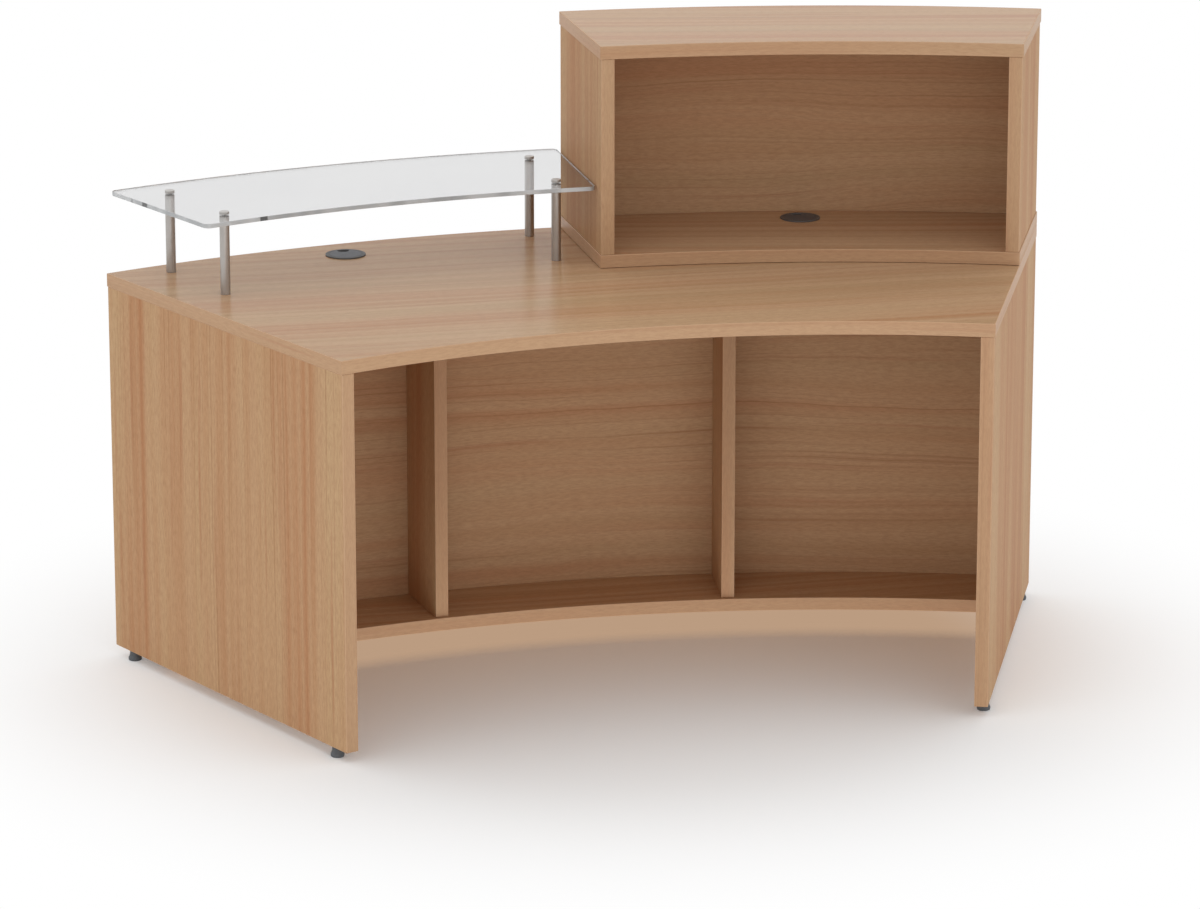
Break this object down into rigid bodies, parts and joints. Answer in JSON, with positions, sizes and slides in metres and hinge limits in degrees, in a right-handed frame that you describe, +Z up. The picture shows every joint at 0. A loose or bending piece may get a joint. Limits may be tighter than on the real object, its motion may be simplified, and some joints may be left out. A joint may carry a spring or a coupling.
{
  "type": "reception desk",
  "caption": "Curved wood-finish reception desk module with open staff-side storage bays, a raised open counter box over one half and a post-mounted glass shelf over the other.",
  "frame": {"origin": "on the floor, at the middle of the desk's bounding box in plan", "axes": "+Z up, +Y towards the visitors, +X to the right as the staff see it, along the desk's width"},
  "size_m": [1.8, 0.9381, 1.16],
  "materials": {
    "board": "light beech-like laminate, satin",
    "dowel": "bare beech",
    "glass": "clear with polished edges",
    "post_steel": "satin",
    "zinc_steel": "zinc plated",
    "dark_plastic": "moulded, fine texture",
    "grey_plastic": "moulded, satin",
    "gasket": "matte"
  },
  "bodies": {
    "desk": {"worktop": "board", "left_end_panel": "board", "right_end_panel": "board", "visitor_panel": "board", "bottom_shelf": "board", "left_divider": "board", "right_divider": "board", "hutch_base": "board", "hutch_top": "board", "hutch_left_panel": "board", "hutch_right_panel": "board", "hutch_visitor_panel": "board", "glass_shelf": "glass", "post_1": "post_steel", "post_2": "post_steel", "post_3": "post_steel", "post_4": "post_steel", "post_cap_1": "post_steel", "post_cap_2": "post_steel", "post_cap_3": "post_steel", "post_cap_4": "post_steel", "post_gasket_1": "gasket", "post_gasket_2": "gasket", "post_gasket_3": "gasket", "post_gasket_4": "gasket", "post_bolt_1": "zinc_steel", "post_bolt_2": "zinc_steel", "post_bolt_3": "zinc_steel", "post_bolt_4": "zinc_steel", "hutch_bolt_1": "zinc_steel", "hutch_bolt_2": "zinc_steel", "hutch_bolt_3": "zinc_steel", "hutch_bolt_4": "zinc_steel", "top_dowel_1": "dowel", "top_dowel_2": "dowel", "top_dowel_3": "dowel", "top_dowel_4": "dowel", "shelf_dowel_1": "dowel", "shelf_dowel_2": "dowel", "shelf_dowel_3": "dowel", "shelf_dowel_4": "dowel", "foot_insert_1": "zinc_steel", "foot_insert_2": "zinc_steel", "foot_insert_3": "zinc_steel", "foot_insert_4": "zinc_steel", "foot_insert_5": "zinc_steel", "foot_insert_6": "zinc_steel", "desk_grommet_liner": "dark_plastic", "hutch_grommet_liner": "dark_plastic"},
    "left_staff_foot": {"foot_1": "dark_plastic"},
    "left_visitor_foot": {"foot_2": "dark_plastic"},
    "right_staff_foot": {"foot_3": "dark_plastic"},
    "right_visitor_foot": {"foot_4": "dark_plastic"},
    "left_middle_foot": {"foot_5": "dark_plastic"},
    "right_middle_foot": {"foot_6": "dark_plastic"},
    "desk_cap": {"desk_grommet_cap": "grey_plastic"},
    "hutch_cap": {"hutch_grommet_cap": "grey_plastic"}
  },
  "joints": [
    {"name": "left_staff_foot_screw", "type": "slide", "parent": "desk", "child": "left_staff_foot", "axis": [0, 0, -1], "range_m": [0, 0.01]},
    {"name": "left_visitor_foot_screw", "type": "slide", "parent": "desk", "child": "left_visitor_foot", "axis": [0, 0, -1], "range_m": [0, 0.01]},
    {"name": "right_staff_foot_screw", "type": "slide", "parent": "desk", "child": "right_staff_foot", "axis": [0, 0, -1], "range_m": [0, 0.01]},
    {"name": "right_visitor_foot_screw", "type": "slide", "parent": "desk", "child": "right_visitor_foot", "axis": [0, 0, -1], "range_m": [0, 0.01]},
    {"name": "left_middle_foot_screw", "type": "slide", "parent": "desk", "child": "left_middle_foot", "axis": [0, 0, -1], "range_m": [0, 0.01]},
    {"name": "right_middle_foot_screw", "type": "slide", "parent": "desk", "child": "right_middle_foot", "axis": [0, 0, -1], "range_m": [0, 0.01]},
    {"name": "desk_cap_turn", "type": "hinge", "parent": "desk", "child": "desk_cap", "pos_m": [-0.44126, 0.3156, 0.74], "axis": [0, 0, 1], "continuous": true},
    {"name": "hutch_cap_turn", "type": "hinge", "parent": "desk", "child": "hutch_cap", "pos_m": [0.44126, 0.3156, 0.765], "axis": [0, 0, 1], "continuous": true}
  ]
}
